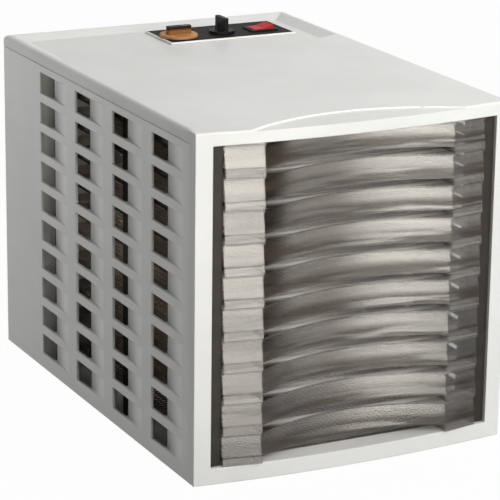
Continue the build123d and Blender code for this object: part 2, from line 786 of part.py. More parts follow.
def main():
    os.makedirs("parts", exist_ok=True)
    left_panel = left_side_panel()
    left_rack = left_tray_rack()
    left_ledges = left_tray_ledges()
    pieces = {
        "front_bezel": front_bezel(),
        "left_side_panel": left_panel,
        "right_side_panel": mirror(left_panel, about=Plane.YZ),
        "top_cover": top_cover(),
        "base_pan": base_pan(),
        "rear_panel": rear_panel(),
        "panel_screws": panel_screws(),
        "mains_inlet": mains_inlet(),
        "rubber_feet": rubber_feet(),
        "left_tray_rack": left_rack,
        "right_tray_rack": [mirror(post, about=Plane.YZ) for post in left_rack],
        "left_tray_ledges": left_ledges,
        "right_tray_ledges": [mirror(ledge, about=Plane.YZ) for ledge in left_ledges],
        "fan_bulkhead": fan_bulkhead(),
        "fan_guard": fan_guard(),
        "fan_impeller": fan_impeller(),
        "motor_shaft": motor_shaft(),
        "motor_rotor": motor_rotor(),
        "motor_housing": motor_housing(),
        "motor_bushes": motor_bushes(),
        "motor_bracket": motor_bracket(),
        "bracket_screws": bracket_screws(),
        "heating_element": heating_element(),
        "element_clips": element_clips(),
        "element_terminal_plate": element_terminal_plate(),
        "thermal_cutout": thermal_cutout(),
        "terminal_block": terminal_block(),
        "console_panel": console_panel(),
        "thermostat_body": thermostat_body(),
        "thermostat_shaft": thermostat_shaft(),
        "thermostat_dial": thermostat_dial(),
        "thermostat_grip": thermostat_grip(),
        "timer_body": timer_body(),
        "timer_shaft": timer_shaft(),
        "timer_knob": timer_knob(),
        "switch_housing": switch_housing(),
        "switch_pin": switch_pin(),
        "switch_rocker": switch_rocker(),
    }
    lowest_frame = tray_frame()
    lowest_mesh = tray_mesh()
    for tray in range(tray_count):
        lift = Pos(0, 0, tray * tray_pitch)
        pieces[f"tray_frame_{tray + 1:02d}"] = lift * lowest_frame
        pieces[f"tray_mesh_{tray + 1:02d}"] = lift * lowest_mesh
    for name, shape in pieces.items():
        write_node(name, shape)


main()
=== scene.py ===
import math

import bpy
import numpy as np
from bpy.props import FloatProperty, FloatVectorProperty, IntProperty, PointerProperty
from mathutils import Matrix, Vector


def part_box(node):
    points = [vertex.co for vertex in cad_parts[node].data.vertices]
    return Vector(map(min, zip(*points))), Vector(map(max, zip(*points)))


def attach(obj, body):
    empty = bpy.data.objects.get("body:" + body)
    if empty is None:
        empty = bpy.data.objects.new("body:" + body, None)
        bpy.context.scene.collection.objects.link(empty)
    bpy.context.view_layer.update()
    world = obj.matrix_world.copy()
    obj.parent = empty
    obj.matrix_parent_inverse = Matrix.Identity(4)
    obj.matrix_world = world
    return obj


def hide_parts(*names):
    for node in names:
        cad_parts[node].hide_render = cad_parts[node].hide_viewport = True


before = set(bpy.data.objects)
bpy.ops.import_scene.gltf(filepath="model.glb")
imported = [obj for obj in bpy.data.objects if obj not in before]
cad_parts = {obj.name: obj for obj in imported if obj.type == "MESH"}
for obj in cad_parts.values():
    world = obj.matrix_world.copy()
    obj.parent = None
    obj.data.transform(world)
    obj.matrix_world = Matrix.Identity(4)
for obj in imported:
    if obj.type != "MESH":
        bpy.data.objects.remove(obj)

bl_info = {
    "name": "Food Dehydrator Looks",
    "version": (1, 0, 0),
    "blender": (4, 5, 0),
    "location": "3D View > Sidebar > Dehydrator",
    "description": "Finishes, tray nets, dial marks and stage for a cabinet food dehydrator",
    "category": "Object",
}

TRAYS = sorted(name.rsplit("_", 1)[1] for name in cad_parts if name.startswith("tray_frame_"))
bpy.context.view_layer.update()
WHITE = (1.0, 1.0, 1.0, 1.0)
EVEN = (1.0, 1.0, 1.0)  # stretch of a pattern that is not drawn out
FINE_RELIEF = 0.00003  # depth of moulded grain, in metres
THIN_SIDES = 6  # flat sides round a thin bar
WIDE_SIDES = 8  # flat sides round a wide bar


def colour(name, description, default):
    """A colour setting."""
    return FloatVectorProperty(name=name, description=description, default=default, subtype="COLOR",
                               min=0.0, max=1.0)


def length(name, description, default):
    """A length setting, in metres."""
    return FloatProperty(name=name, description=description, default=default, unit="LENGTH", min=0.0)


def share(name, description, default):
    """A setting between nought and one."""
    return FloatProperty(name=name, description=description, default=default, subtype="FACTOR",
                         min=0.0, max=1.0)


def power(name, description, default):
    """A lamp's power, in watts."""
    return FloatProperty(name=name, description=description, default=default, unit="POWER", min=0.0)


def strength(name, description, default):
    """The strength of a light that is no lamp."""
    return FloatProperty(name=name, description=description, default=default, min=0.0)


def angle(name, description, degrees):
    """An angle setting, given in degrees."""
    return FloatProperty(name=name, description=description, default=math.radians(degrees), subtype="ANGLE")


class CabinetLook(bpy.types.PropertyGroup):
    """Finish of the white shell."""

    white: colour("White", "Colour of the moulded shell", (0.80, 0.80, 0.775))
    shade: colour("Shade", "Slightly darker cloud in the shell's colour", (0.755, 0.757, 0.73))
    roughness: share("Roughness", "Gloss of the shell, lower is glossier", 0.42)
    grain: length("Grain", "Size of the moulded grain", 0.0011)
    edge: length("Edge", "Rounding of the shell's edges", 0.0014)
    # painted shade: the louvre pockets are drawn darker the deeper they go, standing in for the shade inside
    # them
    pocket_rim: length("Pocket rim", "Depth at which a louvre starts to darken", 0.0008)
    pocket: length("Pocket", "Depth at which a louvre is darkest", 0.0062)
    pocket_shade_share: share("Pocket tone", "Share of the shell's colour left at that depth", 0.42)


class TrayLook(bpy.types.PropertyGroup):
    """Finish of the smoked trays and size of their nets."""

    smoke: colour("Smoke", "Colour of the smoked plastic", (0.016, 0.0115, 0.0085))
    density: share("Density", "How little the plastic lets through", 0.38)
    roughness: share("Roughness", "Gloss of the smoked plastic, lower is glossier", 0.25)
    thin_from: length("Thin from", "How far ahead of the middle the thinner plastic starts", 0.224)
    thin_fade: length("Thin fade", "Width over which the plastic gets thinner", 0.01)
    thin_share: share("Thin share", "How much more the thinner plastic lets through", 0.45)
    grip_half: length("Grip half", "Half the width of the hollow grip", 0.108)
    streak: colour("Streak", "Colour of the flow lines in the plastic", (0.058, 0.041, 0.029))
    streak_fade: length("Streak fade", "Width over which the flow lines start in the grip", 0.02)
    streak_density: share("Streak density", "How much less the flow lines let through than the rest", 0.12)
    streak_dulling: share("Streak dulling", "How much the flow lines dull the gloss of the grip", 0.85)
    # painted shade: the grip's left end loses gloss and lets less through, which darkens it as its shade
    # would
    end_from: length("End from", "How far into the grip its dull left end starts to fade", 0.004)
    end_width: length("End width", "How far into the grip its dull left end reaches", 0.034)
    end_dulling: share("End dulling", "How much less gloss the dull end has", 0.7)
    end_density: share("End density", "How much less the dull end lets through", 0.25)
    # painted highlight: the ledge colour and the settings below paint the tops of the fronts pale, paler to
    # the right, for the light they catch
    ledge: colour("Ledge", "Colour of the frosted ledge on top of each front", (0.93, 0.90, 0.86))
    line_from: length("Line from", "How far ahead of the middle the ledge is pale in the grip", 0.243)
    line_edge: length("Line edge", "Width over which that pale line starts", 0.001)
    highlight_from: length("Pale from", "How far right of the middle the rest of the ledge turns paler", 0.02)
    highlight_share: share("Pale share", "How pale the rest of the ledge is at the right end of the grip", 0.6)
    net: colour("Net", "Colour of the net", (0.16, 0.125, 0.095))
    net_pitch: length("Net pitch", "Distance between the bars of the net", 0.0064)
    net_bar: length("Net bar", "Thickness of the bars of the net", 0.0016)
    net_border: length("Net border", "Width of the rim of the net", 0.0048)


class ControlLook(bpy.types.PropertyGroup):
    """Finish of the control deck."""

    plate: colour("Plate", "Colour of the control plate", (0.010, 0.0085, 0.007))
    dial: colour("Dial", "Colour of the scale disc", (0.44, 0.195, 0.065))
    grip: colour("Grip", "Colour of the disc's grip", (0.012, 0.004, 0.004))
    knob: colour("Knob", "Colour of the bar knob", (0.004, 0.004, 0.004))
    rocker: colour("Rocker", "Colour of the rocker", (0.46, 0.012, 0.016))
    border: colour("Border", "Colour of the frame round the plate", (0.86, 0.85, 0.83))
    border_width: length("Border width", "Width of that frame", 0.003)
    mark: colour("Mark", "Colour of the ticks and the pointer", (0.80, 0.78, 0.70))
    ticks: IntProperty(name="Ticks", description="Ticks on the scale disc", default=13, min=2)
    tick_width: length("Tick width", "Width of a tick", 0.0008)
    tick_rise: length("Tick rise", "Thickness of a tick above its middle", 0.00012)


class WorksLook(bpy.types.PropertyGroup):
    """Finish of the racks, the fan and the heater."""

    rack: colour("Rack", "Colour of the tray racks", (0.020, 0.017, 0.014))
    steel: colour("Steel", "Colour of the sheet steel", (0.56, 0.56, 0.55))
    screw: colour("Screw", "Colour of the screws and shafts", (0.50, 0.50, 0.51))
    paint: colour("Paint", "Colour of the motor's case", (0.10, 0.10, 0.11))
    fan: colour("Fan", "Colour of the fan and its guard", (0.035, 0.035, 0.036))
    brass: colour("Brass", "Colour of the motor's bushes", (0.72, 0.52, 0.24))
    sheath: colour("Sheath", "Colour of the heating element", (0.17, 0.155, 0.145))
    rubber: colour("Rubber", "Colour of the feet and the grommet", (0.022, 0.022, 0.022))


class StageLook(bpy.types.PropertyGroup):
    """Floor, light and camera."""

    floor: colour("Floor", "Colour of the floor", (0.38, 0.38, 0.38))
    floor_glow: share("Floor glow", "How much of the floor's white is its own", 0.98)
    fill: strength("Fill", "Light from all round", 0.055)
    key_power: power("Key", "Power of the front light", 44.5)
    top_power: power("Top", "Power of the light above on the right", 23.5)
    inner_power: power("Inside", "Power of the light inside", 2.6)
    side_power: power("Side", "Power of the light at the left rear", 3.2)
    sheen: strength("Sheen", "Strength of the bright card in front", 9.3)
    sheen_tone: colour("Sheen tone", "Colour of that card", (1.0, 0.96, 0.88))
    sheen_low: share("Sheen low", "Share of that strength at its dim end", 0.26)
    sheen_left: length("Sheen left", "How far right of the middle that card starts to fade", 0.06)
    sheen_right: length("Sheen right", "How far right of the middle that card is dim", 0.85)
    azimuth: angle("Azimuth", "Camera's turn round the part", -26.7553)
    elevation: angle("Elevation", "Camera's height angle", 16.6108)
    roll: angle("Roll", "Camera's tilt", 0.738)
    distance: length("Distance", "Camera to the point that it looks at", 2.8011)
    target: FloatVectorProperty(name="Target", description="Point that the camera looks at",
                                default=(0.0097, 0.0061, 0.1598), subtype="TRANSLATION")
    lens: FloatProperty(name="Lens", description="Focal length", default=181.4, unit="CAMERA")


class Wire:
    """An output of a material's nodes. Arithmetic on it adds Math nodes."""

    def __init__(self, finish, socket):
        self.finish = finish
        self.socket = socket

    def math(self, operation, *values):
        """One Math node on this output and other values."""
        return self.finish.node("ShaderNodeMath", {"operation": operation}, dict(enumerate(values)))

    def __add__(self, other):
        return self.math("ADD", self, other)

    def __radd__(self, other):
        return self.math("ADD", other, self)

    def __sub__(self, other):
        return self.math("SUBTRACT", self, other)

    def __rsub__(self, other):
        return self.math("SUBTRACT", other, self)

    def __mul__(self, other):
        return self.math("MULTIPLY", self, other)

    def __rmul__(self, other):
        return self.math("MULTIPLY", other, self)

    def __mod__(self, other):
        return self.math("FLOORED_MODULO", self, other)

    def __rmod__(self, other):
        return self.math("FLOORED_MODULO", other, self)


class Finish:
    """A node tree under construction: one method adds any node, the rest name what a finish is made of."""

    def __init__(self, owner):
        self.material = owner
        owner.use_nodes = True
        self.tree = owner.node_tree
        self.tree.nodes.clear()

    @classmethod
    def named(cls, name):
        """A finish on a new material."""
        return cls(bpy.data.materials.new(name))

    def node(self, kind, settings=None, inputs=None, output=0):
        """Adds a node, sets its settings, then fills or links its sockets, and returns one output."""
        made = self.tree.nodes.new(kind)
        for key, value in (settings or {}).items():
            setattr(made, key, value)
        for key, value in (inputs or {}).items():
            if isinstance(value, Wire):
                self.tree.links.new(value.socket, made.inputs[key])
            else:
                made.inputs[key].default_value = value
        return Wire(self, made.outputs[output]) if made.outputs else made

    def place(self):
        """The point on the piece, in metres in the part's own frame."""
        return self.node("ShaderNodeTexCoord", output="Object")

    def height(self):
        """The point's height."""
        return self.node("ShaderNodeSeparateXYZ", inputs={0: self.place()}, output="Z")

    def sideways(self):
        """The point's place to the right of the middle."""
        return self.node("ShaderNodeSeparateXYZ", inputs={0: self.place()}, output="X")

    def rearward(self):
        """The point's place behind the middle."""
        return self.node("ShaderNodeSeparateXYZ", inputs={0: self.place()}, output="Y")

    def upward(self):
        """One where the surface faces up, nought where it is upright."""
        facing = self.node("ShaderNodeNewGeometry", output="True Normal")
        return self.node("ShaderNodeSeparateXYZ", inputs={0: facing}, output="Z")

    def noise(self, scale, detail=3.0, stretch=EVEN):
        """Cloudy noise with about scale blobs to a metre, drawn out along an axis by a small stretch."""
        turned = self.node("ShaderNodeMapping", inputs={"Vector": self.place(), "Scale": stretch})
        return self.node("ShaderNodeTexNoise", inputs={"Vector": turned, "Scale": scale, "Detail": detail})

    def blend(self, factor, first, second):
        """A colour between two colours."""
        settings = {"data_type": "RGBA", "clamp_factor": True}
        return self.node("ShaderNodeMix", settings, {0: factor, 6: first, 7: second}, output=2)

    def between(self, wire, low, high):
        """A smooth step from nought at low to one at high."""
        settings = {"interpolation_type": "SMOOTHSTEP"}
        return self.node("ShaderNodeMapRange", settings, {0: wire, 1: low, 2: high})

    def cloud(self, scale, detail=4.0, low=0.35, high=0.7):
        """Soft patches from nought to one, about scale of them to a metre."""
        return self.between(self.noise(scale, detail), low, high)

    def relief(self, height, depth, edge):
        """A normal with softened edges and a fine relief of the given depth in metres."""
        rounded = self.node("ShaderNodeBevel", {"samples": 6}, {"Radius": edge})
        return self.node("ShaderNodeBump", inputs={"Strength": 1.0, "Distance": depth, "Height": height,
                                                   "Normal": rounded})

    def surface(self, **sockets):
        """The principled shader with its sockets filled, joined to the output."""
        inputs = {key.replace("_", " "): value for key, value in sockets.items()}
        shader = self.node("ShaderNodeBsdfPrincipled", inputs=inputs)
        self.node("ShaderNodeOutputMaterial", inputs={"Surface": shader})
        return self.material


def node_box(node):
    """Lowest and highest corner of a CAD node, as arrays."""
    low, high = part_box(node)
    return np.array(low), np.array(high)


def opaque(tone):
    """A colour with full opacity."""
    return (*tone, 1.0)


def scaled(tone, factor):
    """A colour made darker or lighter by a factor, with full opacity."""
    return (*(channel * factor for channel in tone), 1.0)


def shell_sockets(finish, look):
    """What all the white shell shares: a faint cloud in its colour, scuffed gloss, fine grain, soft edges."""
    scuff = finish.noise(60.0, 5.0, (1.0, 0.25, 1.0))
    grain = finish.noise(1.0 / look.grain, 2.0)
    return {
        "Base_Color": finish.blend(finish.cloud(9.0), opaque(look.white), opaque(look.shade)),
        "Roughness": look.roughness - 0.06 + 0.12 * scuff,
        "Normal": finish.relief(grain, FINE_RELIEF, look.edge),
    }


def shell_finish(look):
    """Moulded white plastic."""
    finish = Finish.named("shell_plastic")
    return finish.surface(Specular_IOR_Level=0.3, **shell_sockets(finish, look))


def louvre_finish(look):
    """The shell's plastic on the side walls, with painted shade in the louvres: darker the deeper a louvre's
    ramp dips in.
    """
    finish = Finish.named("louvre_plastic")
    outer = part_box("right_side_panel")[1][0]
    side = finish.sideways()
    depth = outer - side.math("ABSOLUTE", side)
    # painted shade in each louvre pocket, from none at its rim to darkest at the deep end of the ramp
    pocket_shade = finish.between(depth, look.pocket_rim, look.pocket)
    sockets = shell_sockets(finish, look)
    sockets["Base_Color"] = finish.blend(pocket_shade, sockets["Base_Color"], scaled(look.shade, look.pocket_shade_share))
    return finish.surface(**sockets)


def grip_finish(look):
    """The disc's grip: the disc's own colour at its foot and dark towards its top."""
    finish = Finish.named("grip_plastic")
    low, high = (corner[2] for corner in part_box("thermostat_grip"))
    foot = low + 0.35 * (high - low)
    top = low + 0.75 * (high - low)
    rise = finish.between(finish.height(), foot, top)
    fine = finish.noise(900.0, 2.0)
    return finish.surface(
        Base_Color=finish.blend(rise, scaled(look.dial, 0.6), opaque(look.grip)),
        Roughness=0.45 + 0.1 * fine,
        Specular_IOR_Level=0.1,
        Normal=finish.relief(fine, FINE_RELIEF, 0.0006),
    )


def tray_rise(finish):
    """Height within a tray's own step of the stack, from nought at its foot to one at the next tray."""
    first, second = (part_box("tray_frame_" + number)[0][2] for number in TRAYS[:2])
    pitch = second - first
    return ((finish.height() - first) % pitch) * (1.0 / pitch)


def painted_ledge_highlight(finish, look, rise, hollow):
    """One on the top of a tray's front, which is painted pale there as a highlight. In the grip it is whole
    only along the back, and the rest of it turns paler to the right."""
    top = finish.between(rise, 0.90, 0.92) * finish.between(finish.upward(), 0.6, 0.9)
    line = finish.between(finish.rearward(), -look.line_from, look.line_edge - look.line_from)
    highlight_to_right = look.highlight_share * finish.between(finish.sideways(), look.highlight_from, look.grip_half)
    return top * (1.0 - (1.0 - line) * hollow * (1.0 - highlight_to_right))


def smoke_finish(look):
    """Smoked plastic: brown flow lines that dull the gloss only in the lower half of each grip, so that half
    is darker; painted shade at the grip's left end, which has less gloss and lets less through; a pale ledge
    on top with a painted highlight, paler to the right; some see-through in the fronts and more in the thin
    walls behind them."""
    finish = Finish.named("smoke_plastic")
    flow = finish.between(finish.noise(34.0, 4.0, (0.20, 0.5, 4.0)), 0.39, 0.55)
    fine = finish.noise(240.0, 3.0, (0.12, 0.3, 1.0))
    left = -look.grip_half
    side = finish.sideways()
    rise = tray_rise(finish)
    lower = finish.between(rise, 0.20, 0.30) * (1.0 - finish.between(rise, 0.46, 0.76))
    grip = finish.between(side, left, left + look.streak_fade)
    hollow = finish.between(side, left - look.line_edge, left)
    # painted shade at the grip's left end, fading out to the right
    painted_shade_end = hollow * (1.0 - finish.between(side, left + look.end_from, left + look.end_width))
    # painted highlight on the tops of the fronts
    ledge = painted_ledge_highlight(finish, look, rise, hollow)
    behind = finish.between(finish.rearward(), -look.thin_from, look.thin_fade - look.thin_from)
    body = finish.blend(flow, opaque(look.smoke), opaque(look.streak))
    plain = (look.density + look.streak_density * (flow - 0.5)) * (1.0 - look.thin_share * behind)
    density = plain + look.end_density * painted_shade_end
    # the flow lines dull the gloss only in the lower half of each grip, which makes that half darker
    gloss = (1.0 - look.streak_dulling * flow * lower * grip) * (1.0 - look.end_dulling * painted_shade_end)
    return finish.surface(
        Base_Color=finish.blend(ledge, body, opaque(look.ledge)),
        Roughness=look.roughness - 0.04 + 0.10 * fine,
        Alpha=density + (1.0 - density) * ledge,
        Specular_IOR_Level=0.2,
        Coat_IOR=2.1,
        Coat_Weight=gloss,
        Coat_Roughness=look.roughness * 0.8,
        Normal=finish.relief(fine, FINE_RELIEF, 0.0007),
    )


def satin_finish(name, tone, roughness=0.45, grain=900.0, depth=FINE_RELIEF, edge=0.0006, lift=1.35,
                 **extra):
    """Coloured plastic, rubber, paint, print or cloth with a fine grain and a cloud in its colour, lighter or
    darker by the factor lift."""
    finish = Finish.named(name)
    fine = finish.noise(grain, 2.0)
    return finish.surface(
        Base_Color=finish.blend(finish.cloud(70.0), opaque(tone), scaled(tone, lift)),
        Roughness=roughness - 0.05 + 0.1 * fine,
        Normal=finish.relief(fine, depth, edge),
        **extra,
    )


def metal_finish(name, tone, roughness=0.34, stretch=(0.05, 1.0, 1.0)):
    """Plain metal with fine lines, drawn out along an axis that has a small stretch."""
    finish = Finish.named(name)
    lines = finish.noise(700.0, 3.0, stretch)
    cloud = finish.cloud(28.0, 3.0, low=0.3)
    return finish.surface(
        Base_Color=finish.blend(cloud, opaque(tone), scaled(tone, 0.86)),
        Roughness=roughness - 0.06 + 0.14 * lines,
        Metallic=1.0,
        Normal=finish.relief(lines, 0.00002, 0.0005),
    )


def dress(material, *nodes):
    """Gives CAD nodes their finish."""
    for node in nodes:
        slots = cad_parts[node].data.materials
        slots.clear()
        slots.append(material)


def new_piece(name, points, faces, material, body, slot):
    """A mesh piece from its points and faces, riding on a body."""
    mesh = bpy.data.meshes.new(name)
    mesh.from_pydata(points.tolist(), [], faces)
    mesh.materials.append(material)
    mesh.update()
    piece = bpy.data.objects.new(name, mesh)
    bpy.context.scene.collection.objects.link(piece)
    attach(piece, body)
    return piece


def bars(starts, ends, half_width, half_height, sides):
    """Straight bars that lie flat: a rounded profile, an ellipse of the bar's half width across and half
    height up, carried from each start to each end. Returns points and faces of all the bars."""
    along = ends - starts
    along = along / np.linalg.norm(along, axis=1, keepdims=True)
    across = np.stack((-along[:, 1], along[:, 0], np.zeros(len(along))), axis=1)
    up = np.array((0.0, 0.0, 1.0))
    turn = (np.arange(sides) + 0.5) * 2 * math.pi / sides
    ring = (across[:, None, :] * (half_width * np.cos(turn)[:, None])[None]
            + up[None, None, :] * (half_height * np.sin(turn)[:, None])[None])
    points = np.stack((starts[:, None, :] + ring, ends[:, None, :] + ring), axis=1).reshape(-1, 3)
    side = np.arange(sides)
    following = (side + 1) % sides
    wall = np.stack((side, following, following + sides, side + sides), axis=1)
    first = np.arange(len(starts)) * 2 * sides
    walls = (first[:, None, None] + wall[None]).reshape(-1, 4)
    near = first[:, None] + side[None, ::-1]
    far = first[:, None] + side[None] + sides
    return points, walls.tolist() + near.tolist() + far.tolist()


def rectangle(x0, y0, x1, y1, height):
    """Four corners of a level rectangle, in order round it."""
    return np.array(((x0, y0, height), (x1, y0, height), (x1, y1, height), (x0, y1, height)))


def level_row(xs, ys, height):
    """A row of points at one height, where either place may be the same for all of them."""
    xs, ys = np.broadcast_arrays(xs, ys)
    return np.stack((xs, ys, np.full(xs.shape, height)), axis=1)


def spaced(low, high, pitch):
    """Even places between two limits, about a pitch apart, without the limits themselves."""
    count = max(2, round((high - low) / pitch))
    return low + (high - low) * np.arange(1, count) / count


def net_piece(number, look, material):
    """Net of one tray: thin bars both ways inside a thicker rim, all lying in the plane of the CAD grid."""
    low, high = node_box("tray_mesh_" + number)
    middle = (low[2] + high[2]) / 2
    half = look.net_border / 2
    x0, y0 = low[:2] + half
    x1, y1 = high[:2] - half
    xs = spaced(x0, x1, look.net_pitch)
    ys = spaced(y0, y1, look.net_pitch)
    starts = np.concatenate((level_row(xs, y0, middle), level_row(x0, ys, middle)))
    ends = np.concatenate((level_row(xs, y1, middle), level_row(x1, ys, middle)))
    thin = bars(starts, ends, look.net_bar / 2, look.net_bar / 2, THIN_SIDES)
    corners = rectangle(x0, y0, x1, y1, middle)
    onward = np.roll(corners, -1, axis=0)
    ahead = (onward - corners) / np.linalg.norm(onward - corners, axis=1, keepdims=True)
    past = ahead * half * 0.9
    rim = bars(corners - past, onward + past, half, (high[2] - low[2]) / 2, WIDE_SIDES)
    points = np.concatenate((thin[0], rim[0]))
    faces = thin[1] + [[corner + len(thin[0]) for corner in face] for face in rim[1]]
    piece = new_piece("tray_net_" + number, points, faces, material, "tray_" + number, "mesh_grey")
    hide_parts("tray_mesh_" + number)


class DEHYDRATOR_OT_cabinet(bpy.types.Operator):
    """Finish the white shell"""

    bl_idname = "dehydrator.cabinet"
    bl_label = "Cabinet"

    def execute(self, context):
        look = context.scene.dehydrator_cabinet
        dress(shell_finish(look), "front_bezel", "top_cover", "base_pan", "rear_panel")
        dress(louvre_finish(look), "left_side_panel", "right_side_panel")
        return {"FINISHED"}


class DEHYDRATOR_OT_trays(bpy.types.Operator):
    """Finish the smoked trays and lay a net in each"""

    bl_idname = "dehydrator.trays"
    bl_label = "Trays"

    def execute(self, context):
        look = context.scene.dehydrator_trays
        dress(smoke_finish(look), *("tray_frame_" + number for number in TRAYS))
        net = satin_finish("net_plastic", look.net, 0.5, grain=1200.0, depth=0.00002, edge=0.0002, lift=1.15)
        for number in TRAYS:
            net_piece(number, look, net)
        return {"FINISHED"}


class DEHYDRATOR_OT_works(bpy.types.Operator):
    """Finish the racks, the fan, the heater and the fasteners"""

    bl_idname = "dehydrator.works"
    bl_label = "Works"

    def execute(self, context):
        look = context.scene.dehydrator_works
        dress(satin_finish("rack_plastic", look.rack, 0.6, Specular_IOR_Level=0.12),
              "left_tray_rack", "right_tray_rack", "left_tray_ledges", "right_tray_ledges")
        dress(satin_finish("fan_plastic", look.fan, 0.4),
              "fan_impeller", "fan_guard", "terminal_block", "timer_body")
        dress(satin_finish("motor_paint", look.paint, 0.35), "motor_housing", "motor_rotor")
        dress(satin_finish("foot_rubber", look.rubber, 0.7), "rubber_feet", "mains_inlet")
        dress(metal_finish("sheet_steel", look.steel),
              "fan_bulkhead", "motor_bracket", "element_clips", "element_terminal_plate", "thermal_cutout",
              "thermostat_body")
        dress(metal_finish("screw_steel", look.screw, 0.28, EVEN),
              "panel_screws", "bracket_screws", "motor_shaft", "thermostat_shaft", "timer_shaft",
              "switch_pin")
        dress(metal_finish("bush_brass", look.brass, 0.3, (1.0, 0.1, 1.0)), "motor_bushes")
        dress(metal_finish("element_sheath", look.sheath, 0.5, EVEN), "heating_element")
        return {"FINISHED"}


class DEHYDRATOR_OT_controls(bpy.types.Operator):
    """Finish the control deck and mark its dial"""

    bl_idname = "dehydrator.controls"
    bl_label = "Controls"

    def execute(self, context):
        look = context.scene.dehydrator_controls
        dress(satin_finish("plate_plastic", look.plate, 0.6, Specular_IOR_Level=0.06), "console_panel")
        dress(satin_finish("dial_plastic", look.dial, 0.5, lift=1.2, Specular_IOR_Level=0.2),
              "thermostat_dial")
        dress(grip_finish(look), "thermostat_grip")
        dress(satin_finish("knob_plastic", look.knob, 0.5, Specular_IOR_Level=0.1),
              "timer_knob", "switch_housing")
        dress(satin_finish("rocker_plastic", look.rocker, 0.4, lift=1.15, Specular_IOR_Level=0.1),
              "switch_rocker")
        mark = satin_finish("mark_print", look.mark, 0.5, lift=0.95)
        self.plate_border(look, satin_finish("border_plastic", look.border, 0.45, lift=0.97))
        self.dial_ticks(look, mark)
        self.grip_pointer(look, mark)
        return {"FINISHED"}

    def plate_border(self, look, material):
        """A thin pale frame round the control plate: four flat bars along its edges, on the deck's floor."""
        low, high = node_box("console_panel")
        half = look.border_width / 2
        height = (high[2] - low[2]) / 2
        corners = rectangle(*(low[:2] - half), *(high[:2] + half), low[2] + height)
        border = bars(corners, np.roll(corners, -1, axis=0), half, height, WIDE_SIDES)
        new_piece("plate_border", *border, material, "cabinet", "cabinet_white")

    def dial_ticks(self, look, mark):
        """Short bars on the scale disc, spaced evenly over three quarters of a turn."""
        low, high = node_box("thermostat_dial")
        middle = (low + high) / 2
        radius = (high[0] - low[0]) / 2
        turn = np.radians(np.linspace(-45.0, 225.0, look.ticks))
        ray = np.stack((np.cos(turn), np.sin(turn), np.zeros_like(turn)), axis=1)
        centre = np.array((middle[0], middle[1], high[2]))
        inner, outer = 0.74 * radius, 0.93 * radius
        ticks = bars(centre + ray * inner, centre + ray * outer, look.tick_width / 2, look.tick_rise,
                     THIN_SIDES)
        new_piece("dial_ticks", *ticks, mark, "thermostat_control", "dial_orange")

    def grip_pointer(self, look, mark):
        """A line along one half of the top of the disc's grip."""
        low, high = node_box("thermostat_grip")
        centre = np.array(((low[0] + high[0]) / 2, (low[1] + high[1]) / 2, high[2]))
        along = np.array((high[0] - low[0], 0.0, 0.0))
        start, end = centre + 0.10 * along, centre + 0.36 * along
        line = bars(start[None], end[None], look.tick_width / 2, look.tick_rise, THIN_SIDES)
        new_piece("grip_pointer", *line, mark, "thermostat_control", "grip_brown")


